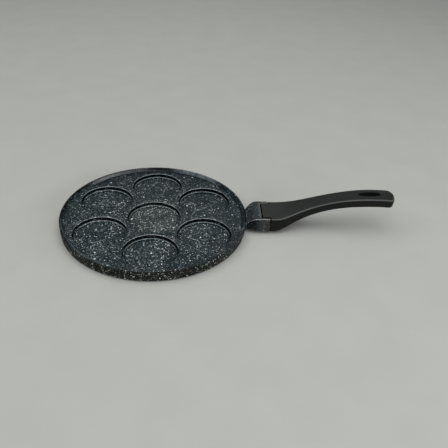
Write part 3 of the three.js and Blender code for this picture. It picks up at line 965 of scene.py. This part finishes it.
def open_slot():
    """The hanging slot: an oval hole with rounded lips, bridged from the top to the underside."""
    half_mouth = SLOT_LENGTH / 2 + SLOT_MARGIN

    def in_mouth(face):
        middle = face.calc_center_median()
        across_mouth = abs(middle.y) < GRIP_HALF_WIDTH * SLOT_COLUMNS_SHARE
        return across_mouth and abs(middle.x - SLOT_X) < half_mouth and abs(face.normal.z) > LEVEL_FACE

    pick("FACE", in_mouth)
    bpy.ops.mesh.delete(type="FACE")
    pick("EDGE", lambda edge: len(edge.link_faces) == 1)
    bpy.ops.mesh.extrude_edges_move()
    mesh = bmesh.from_edit_mesh(bpy.context.object.data)
    rim = [vert for vert in mesh.verts if vert.select]
    half_width = max(vert.co.y for vert in rim)
    for vert in rim:
        angle = math.atan2(vert.co.y / half_width * SLOT_END_SPREAD, (vert.co.x - SLOT_X) / half_mouth)
        vert.co.x = SLOT_X + SLOT_LENGTH / 2 * math.cos(angle)
        vert.co.y = SLOT_WIDTH / 2 * math.sin(angle)
        _, low, high = handle_station(vert.co.x)
        if vert.co.z > handle_middle(vert.co.x):
            share = vert.co.y / (GRIP_HALF_WIDTH - HANDLE_UPPER_ROUND)
            vert.co.z = high + handle_crown(vert.co.x) * (1 - share ** 2)
        else:
            vert.co.z = low
    bmesh.update_edit_mesh(bpy.context.object.data)
    bpy.ops.mesh.bridge_edge_loops()
    round_edges(SLOT_LIP_ROUND, slot_lip, SLOT_LIP_STEPS)
    face_outwards()


def slot_lip(edge):
    """True for the edges where the slot opens in the top and the underside."""
    a, b = ends(edge)
    reach = [math.hypot((p.x - SLOT_X) / (SLOT_LENGTH / 2), p.y / (SLOT_WIDTH / 2)) for p in (a, b)]
    on_oval = all(abs(r - 1) < NEAR_OVAL for r in reach)
    return on_oval and math.hypot(a.x - b.x, a.y - b.y) > abs(a.z - b.z)


def refine(piece):
    """One level of subdivision, which rounds the facets off."""
    make_active(piece)
    modifier = piece.modifiers.new("refine", "SUBSURF")
    modifier.levels = 1
    modifier.render_levels = 1
    bpy.ops.object.modifier_apply(modifier=modifier.name)


def cut_tongue(piece):
    """Takes away what the neck and the cradle fill, which leaves a tongue between the cheeks."""
    front = CHEEK_END_X + FIT_GAP
    outside = BRACKET_HALF_WIDTH + PAST
    half = POCKET_HALF_WIDTH - FIT_GAP
    high = BRACKET_TOP + PAST
    space = block(
        "cradle_space",
        (HANDLE_START_X - 2 * STOCK, -outside, BRACKET_BOTTOM - PAST),
        (front, outside, high),
    )
    tongue_low = (HANDLE_START_X, -half, insert_low.z)
    cut_from(space, tongue_block("tongue", tongue_low, (front + PAST, half, high + PAST)))
    cut_from(piece, space)
    edit(piece)
    round_edges(TONGUE_EDGE_ROUND, tongue_edge)
    done()


def tongue_edge(edge):
    """True for the top edges of the tongue and the edges of the shoulders that face the cheeks."""
    a, b = ends(edge)
    front = CHEEK_END_X + FIT_GAP
    tongue = POCKET_HALF_WIDTH - FIT_GAP
    at_tongue = max(a.x, b.x) < front + NEAR and top_border(edge) and min(a.z, b.z) > BRACKET_TOP - MM
    at_shoulder = abs(a.x - front) < NEAR and abs(b.x - front) < NEAR
    return at_tongue or (at_shoulder and max(abs(a.y), abs(b.y)) > tongue + NEAR)


# Materials

def new_material(name):
    """A material, its shader and its object coordinates."""
    material = bpy.data.materials.new(name)
    material.use_nodes = True
    nodes = material.node_tree.nodes
    return material, nodes["Principled BSDF"], nodes.new("ShaderNodeTexCoord").outputs["Object"]


def connect(node, inputs):
    """Feeds a node's inputs. Each is a plain value or another node's output."""
    for name, value in inputs.items():
        if isinstance(value, bpy.types.NodeSocket):
            node.id_data.links.new(value, node.inputs[name])
        else:
            node.inputs[name].default_value = value


def add_node(kind, inputs, **settings):
    """Adds a shader node to the tree that its inputs come from."""
    tree = next(value.id_data for value in inputs.values() if isinstance(value, bpy.types.NodeSocket))
    node = tree.nodes.new("ShaderNode" + kind)
    for name, value in settings.items():
        setattr(node, name, value)
    connect(node, inputs)
    return node


def calc(operation, value, *others):
    """Takes one operation along a row of values, as in a sum of them all."""
    for other in others:
        value = add_node("Math", {0: value, 1: other}, operation=operation).outputs[0]
    return value


def times(*values):
    return calc("MULTIPLY", *values)


def ramp(value, start, end, low=0.0, high=1.0):
    """Eases from one value to another as the input goes from start to end."""
    inputs = {"Value": value, "From Min": start, "From Max": end, "To Min": low, "To Max": high}
    return add_node("MapRange", inputs, interpolation_type="SMOOTHSTEP").outputs[0]


def between(value, low, high, fade):
    """1 where a value lies between two others, fading out at both."""
    rising = ramp(value, low - fade, low + fade)
    return times(rising, ramp(value, high + fade, high - fade))


def mixed(share, a, b):
    """A colour between two colours."""
    a, b = (c if isinstance(c, bpy.types.NodeSocket) else (*c, 1) for c in (a, b))
    return add_node("Mix", {0: share, 6: a, 7: b}, data_type="RGBA").outputs[2]


def noise(place, size, detail=WAVE_DETAIL):
    """Soft noise whose blotches are about this size."""
    return add_node("TexNoise", {"Vector": place, "Scale": 1 / size, "Detail": detail}).outputs


def split(vector):
    return add_node("SeparateXYZ", {"Vector": vector}).outputs


def vector_math(operation, inputs):
    return add_node("VectorMath", inputs, operation=operation).outputs


def raised(height, depth):
    """A normal for a surface that stands up by this depth where the height is 1."""
    return add_node("Bump", {"Height": height, "Distance": depth}).outputs["Normal"]


def new_group(name, inputs, outputs):
    """An empty node group, with what enters it and the node that it leaves by."""
    group = bpy.data.node_groups.new(name, "ShaderNodeTree")
    for way, sockets in (("INPUT", inputs), ("OUTPUT", outputs)):
        for socket, kind in sockets.items():
            group.interface.new_socket(socket, in_out=way, socket_type="NodeSocket" + kind)
    return group, group.nodes.new("NodeGroupInput").outputs, group.nodes.new("NodeGroupOutput")


def place_group(group, inputs):
    return add_node("Group", inputs, node_tree=group).outputs


def fleck_group():
    """Scattered flecks of one size: a cell holds a fleck or not, and each fleck has its own size."""
    inputs = {"Place": "Vector", "Spacing": "Float", "Radius": "Float", "Share": "Float"}
    group, enter, leave = new_group("scattered_flecks", inputs, {"Mask": "Float", "Tone": "Float"})
    scale = calc("DIVIDE", 1.0, enter["Spacing"])
    cells = add_node("TexVoronoi", {"Vector": enter["Place"], "Scale": scale}, feature="F1").outputs
    draw = add_node("SeparateColor", {"Color": cells["Color"]}).outputs
    held = calc("LESS_THAN", draw[0], enter["Share"])
    size = calc("DIVIDE", enter["Radius"], enter["Spacing"])
    size = times(size, ramp(draw[1], 0, 1, *FLECK_SIZES))
    inside = calc("DIVIDE", cells["Distance"], size)
    mask = times(held, ramp(inside, *FLECK_EDGE))
    connect(leave, {"Mask": mask, "Tone": ramp(draw[2], 0, 1, *FLECK_TONES)})
    return group


def grain_group():
    """Fine unevenness of a sprayed, moulded or cast surface, with slower waves under it."""
    inputs = {"Place": "Vector", "Fine size": "Float", "Wave size": "Float"}
    outputs = {"Fine": "Float", "Wave": "Float", "Height": "Float"}
    group, enter, leave = new_group("surface_grain", inputs, outputs)
    found = {}
    for name, detail in (("Fine", FINE_DETAIL), ("Wave", WAVE_DETAIL)):
        scale = calc("DIVIDE", 1.0, enter[name + " size"])
        texture = add_node("TexNoise", {"Vector": enter["Place"], "Scale": scale, "Detail": detail})
        found[name] = texture.outputs["Fac"]
    found["Height"] = calc("ADD", found["Fine"], times(found["Wave"], GRAIN_WAVE_SHARE))
    connect(leave, found)
    return group


def grained(grain, place, fine, wave):
    return place_group(grain, {"Place": place, "Fine size": fine, "Wave size": wave})


def readings(place):
    """What masks are read from: where a point lies and which way its surface faces."""
    axes = split(place)
    facing = split(place.id_data.nodes.new("ShaderNodeNewGeometry").outputs["Normal"])
    found = {"across": calc("ABSOLUTE", axes["Y"], 0)}
    for axis in "XYZ":
        found[axis.lower()] = axes[axis]
        found["facing " + axis.lower()] = facing[axis]
    return found


def make_masks(read, ramps, bands):
    masks = {name: ramp(read[source], *span) for name, (source, *span) in ramps.items()}
    for name, (source, *span) in bands.items():
        masks[name] = between(read[source], *span)
    return masks


def coating_zones(read):
    """Masks of the places that get painted shade, painted highlights, other tints or other flecks."""
    flat = add_node("CombineXYZ", {"X": read["x"], "Y": read["y"]}).outputs[0]
    read["reach"] = vector_math("LENGTH", {0: flat})["Value"]
    from_wells = [vector_math("DISTANCE", {0: flat, 1: middle})["Value"] for middle in well_places()]
    read["from well"] = calc("MINIMUM", read["reach"], *from_wells)
    lag = ramp(read["z"], *WELL_MIDDLE, 0, UPPER_ROUND_LAG)
    read["slope"] = calc("SUBTRACT", read["facing z"], lag)
    masks = make_masks(read, COATING_RAMPS, COATING_BANDS)
    masks["plate"] = calc("LESS_THAN", read["reach"], DISH_FLOOR_RADIUS)
    masks["off relief"] = calc("GREATER_THAN", read["from well"], RELIEF_CLEAR)
    masks["back half"] = calc("GREATER_THAN", read["y"], 0)
    masks["handle half"] = calc("GREATER_THAN", read["x"], 0)
    masks["facing out"] = calc("MAXIMUM", masks["facing front"], masks["facing handle"])
    masks["far sides"] = calc("ADD", masks["far left"], masks["far right"])
    front_right = calc("MAXIMUM", masks["right"], masks["front"])
    masks["inland"] = ramp(front_right, 0, 1, 1, RIM_SIDE_SHARE)
    masks["away"] = ramp(calc("MAXIMUM", front_right, masks["left"]), 0, 1, 1, RIM_SIDE_SHARE)
    return {zone: times(*(masks[name] for name in names)) for zone, names in COATING_ZONES.items()}


def shares(zones, wanted):
    """Zones of the coating, each times its share."""
    return [times(zones[zone], share) for zone, share in wanted.items()]


def ragged_place(place):
    """Object coordinates, shifted a little to and fro, which gives flecks ragged outlines."""
    warp = noise(place, FLECK_RAGGED_SIZE)["Color"]
    shift = vector_math("SUBTRACT", {0: warp, 1: NOISE_MIDDLE})[0]
    shift = vector_math("SCALE", {0: shift, "Scale": FLECK_RAGGEDNESS})[0]
    return vector_math("ADD", {0: place, 1: shift})[0]


def stone_coating(flecks, grain):
    """Dark blue-grey non-stick coating with dust, pale flecks and a few larger chips, with painted shade and
    painted highlights.
    """
    material, shader, place = new_material("stone_coating")
    read = readings(place)
    zones = coating_zones(read)
    texture = grained(grain, place, *COATING_TEXTURE)
    mottle = noise(place, COATING_MOTTLE_SIZE, FINE_DETAIL)["Fac"]
    colour = mixed(ramp(mottle, *BLOTCHES), COATING_DARK, COATING_LIGHT)
    colour = mixed(ramp(texture["Fine"], *COATING_GRAIN_SHOWS), colour, COATING_GRAIN)
    outside = mixed(zones["left"], COATING_OUTSIDE, COATING_LEFT)
    outside = mixed(zones["right"], outside, COATING_RIGHT)
    colour = mixed(times(zones["outside"], OUTSIDE_SHARE), colour, outside)
    middle = times(zones["middle"], ramp(mottle, *BLOTCHES, *MIDDLE_SHARE))
    colour = mixed(middle, colour, MIDDLE_GROUND)
    for zone, (share, tint) in TINTED_ZONES.items():
        colour = mixed(times(zones[zone], share), colour, tint)
    # Painted shade: darker walls, corners, creases and crests, which also lose flecks and gloss
    painted_shade = calc("MAXIMUM", *shares(zones, SHADE_ZONES))
    painted_shade = times(painted_shade, COATING_SHADE_MOST)
    colour = mixed(painted_shade, colour, COATING_SHADE)
    # Painted highlights on the wells' rounds, the rim and the neck's root; real wear on the ridges' tops
    uneven = ramp(noise(place, HIGHLIGHT_PATCH_SIZE)["Fac"], *HIGHLIGHT_PATCHES)
    uneven = times(uneven, ramp(texture["Fine"], *BLOTCHES, *HIGHLIGHT_GRAIN))
    patchy = {
        "well rounds": uneven,
        "rim pale": times(uneven, RIM_PALE_HIGHLIGHT),
        "ridges": ramp(mottle, *RIDGE_WEAR),
    }
    wear_and_highlight = calc("ADD", *shares(zones, {**patchy, **HIGHLIGHT_ZONES}))
    colour = mixed(wear_and_highlight, colour, COATING_WEAR_AND_HIGHLIGHT)
    # Painted highlight along the bracket's rounded edges that face out
    colour = mixed(times(zones["bracket edges"], BRACKET_HIGHLIGHT_SHARE), colour, BRACKET_HIGHLIGHT)
    rim_top = calc("SUBTRACT", zones["rim"], zones["outside"])
    spray = times(
        ramp(painted_shade, 0, COATING_SHADE_MOST, 1, SHADED_SPRAY),
        ramp(zones["bracket"], 0, 1, 1, BRACKET_SPRAY),
        ramp(rim_top, 0, 1, 1, RIM_SPRAY),
        ramp(zones["border"], 0, 1, 1, BORDER_SPRAY),
    )
    crowd = times(
        ramp(noise(place, FLECK_PATCH_SIZE)["Fac"], *BLOTCHES, *FLECK_PATCHES),
        ramp(read["x"], *FLECK_ALONG_X),
        ramp(read["y"], *FLECK_ALONG_Y),
        ramp(zones["middle"], 0, 1, 1, MIDDLE_CROWD),
    )
    fleck_colour = mixed(zones["outside"], FLECK_COLOUR, FLECK_OUTSIDE)
    ragged = ragged_place(place)
    height = times(texture["Height"], GROUND_HEIGHT)
    for spacing, radius, share, strength in FLECK_LAYERS:
        inputs = {"Place": ragged, "Spacing": spacing, "Radius": radius, "Share": times(crowd, share)}
        layer = place_group(flecks, inputs)
        shown = times(layer["Mask"], layer["Tone"], spray, strength)
        colour = mixed(shown, colour, fleck_colour)
        height = calc("ADD", height, times(layer["Mask"], FLECK_HEIGHT))
    specular = times(
        ramp(zones["outside"], 0, 1, *COATING_SPECULAR),
        ramp(rim_top, 0, 1, 1, RIM_GLOSS),
        calc("SUBTRACT", 1.0, painted_shade),
    )
    connect(shader, {
        "Base Color": colour,
        "Roughness": ramp(texture["Fine"], *SOFT_BLOTCHES, *COATING_ROUGHNESS),
        "Specular IOR Level": specular,
        "Normal": raised(height, COATING_RELIEF),
    })
    return material


def phenolic(grain):
    """Satin black moulded phenolic, with a fine mould texture and faint flow marks."""
    material, shader, place = new_material("phenolic")
    masks = make_masks(readings(place), HANDLE_RAMPS, HANDLE_BANDS)
    texture = grained(grain, place, *PHENOLIC_TEXTURE)
    along = add_node("Mapping", {"Vector": place, "Scale": FLOW_STRETCH}).outputs[0]
    flow = noise(along, FLOW_SIZE, FINE_DETAIL)["Fac"]
    colour = mixed(ramp(flow, *SOFT_BLOTCHES), PHENOLIC_DARK, PHENOLIC_LIGHT)
    stipple = ramp(texture["Fine"], *BLOTCHES, *PHENOLIC_STIPPLE)
    breakup = times(stipple, ramp(flow, *BLOTCHES, *PHENOLIC_STREAKS))
    # The top is paler, partly from wear and partly as painted light
    worn_and_lit = times(breakup, *(masks[name] for name in ("top", "not back", "not end", "held")))
    colour = mixed(worn_and_lit, colour, PHENOLIC_WORN_AND_LIT)
    # Painted highlight along the near top edge
    edge = times(breakup, masks["edge"], masks["near side"], PHENOLIC_HIGHLIGHT_SHARE)
    colour = mixed(edge, colour, PHENOLIC_EDGE_HIGHLIGHT)
    # Painted shade along the seam and beside the cheeks
    beside = calc("MAXIMUM", masks["sides"], masks["underside"])
    beside = times(beside, masks["by cheeks"], masks["upper"])
    seam = calc("MAXIMUM", masks["start"], beside)
    colour = mixed(seam, colour, PHENOLIC_SEAM_SHADE)
    sheen = times(calc("ADD", texture["Fine"], texture["Wave"]), 0.5)
    connect(shader, {
        "Base Color": colour,
        "Roughness": ramp(sheen, *SOFT_BLOTCHES, *PHENOLIC_ROUGHNESS),
        "Specular IOR Level": times(ramp(seam, 0, 1, PHENOLIC_SPECULAR, 0), masks["below"]),
        "Normal": raised(texture["Height"], PHENOLIC_RELIEF),
    })
    return material


def metal(name, grain, bright, dull, roughness, ring_pitch=None):
    """Bare metal with fine grain and dull stains, and turning marks round the upright axis if asked."""
    material, shader, place = new_material(name)
    texture = grained(grain, place, *METAL_TEXTURE)
    height = texture["Height"]
    if ring_pitch:
        rings = {"Vector": place, "Scale": RING_SCALE / ring_pitch}
        rings.update({"Distortion": TURNING_WOBBLE, "Detail": 1.0})
        rings = add_node("TexWave", rings, wave_type="RINGS", rings_direction="Z").outputs["Fac"]
        height = calc("ADD", times(height, TURNING_GRAIN), rings)
    connect(shader, {
        "Base Color": mixed(ramp(texture["Wave"], *METAL_STAINS), bright, dull),
        "Metallic": 1,
        "Roughness": ramp(texture["Fine"], *SOFT_BLOTCHES, *roughness),
        "Normal": raised(height, METAL_RELIEF),
    })
    return material


def refinish(node, material):
    """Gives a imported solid, which stays as it is, a better finish."""
    for slot in bpy.data.objects[node].material_slots:
        slot.material = material


def pale_floor():
    """Plain pale studio floor with a faint unevenness."""
    material, shader, place = new_material("pale_floor")
    cloud = noise(place, FLOOR_CLOUD_SIZE, FINE_DETAIL)["Fac"]
    connect(shader, {
        "Base Color": mixed(ramp(cloud, *SOFT_BLOTCHES), FLOOR_DARK, FLOOR_LIGHT),
        "Roughness": FLOOR_ROUGHNESS,
        "Specular IOR Level": FLOOR_SPECULAR,
    })
    return material


# Stage

def set_camera():
    back = Vector((
        math.sin(CAMERA_AZIMUTH) * math.cos(CAMERA_ELEVATION),
        -math.cos(CAMERA_AZIMUTH) * math.cos(CAMERA_ELEVATION),
        math.sin(CAMERA_ELEVATION),
    ))
    deselect()
    bpy.ops.object.camera_add(location=CAMERA_TARGET + back * CAMERA_DISTANCE)
    camera = bpy.context.object
    camera.name = "camera"
    camera.data.lens = CAMERA_LENS
    camera.data.clip_start = CAMERA_NEAR
    camera.rotation_mode = "QUATERNION"
    camera.rotation_quaternion = (-back).to_track_quat("-Z", "Y") @ Quaternion((0, 0, 1), CAMERA_ROLL)
    bpy.context.scene.camera = camera


def set_floor():
    deselect()
    bpy.ops.mesh.primitive_plane_add(size=FLOOR_SIZE)
    floor = named("floor")
    floor.data.materials.append(pale_floor())


def soft_light(name, place, size, power, target):
    deselect()
    bpy.ops.object.light_add(type="AREA", location=place)
    light = bpy.context.object
    light.name = name
    light.data.shape = "RECTANGLE"
    light.data.size, light.data.size_y = size
    light.data.energy = power
    light.rotation_mode = "QUATERNION"
    light.rotation_quaternion = (target - place).to_track_quat("-Z", "Y")


def set_sky():
    """Even sky light from all around."""
    world = bpy.data.worlds.new("studio")
    world.use_nodes = True
    world.node_tree.nodes["Background"].inputs["Color"].default_value = (*SKY_COLOUR, 1)
    bpy.context.scene.world = world


bpy.context.scene.view_settings.view_transform = "Standard"
set_camera()
set_floor()
set_sky()
for light_name, light_values in LIGHTS.items():
    soft_light(light_name, *light_values)

flecks = fleck_group()
grain = grain_group()

pan = pan_body()
pan.data.materials.append(stone_coating(flecks, grain))
pan.data.materials.append(metal("turned_aluminium", grain, *ALUMINIUM, TURNING_PITCH))
bare_base(pan)
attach(pan, "root")
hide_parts("pan_body")

grip = handle()
grip.data.materials.append(phenolic(grain))
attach(grip, "root")
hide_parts("handle")

zinc = metal("bright_zinc", grain, *ZINC)
for node in ("handle_screw", "spring_washer", "flat_washer"):
    refinish(node, zinc)
refinish("threaded_insert", metal("turned_brass", grain, *BRASS))
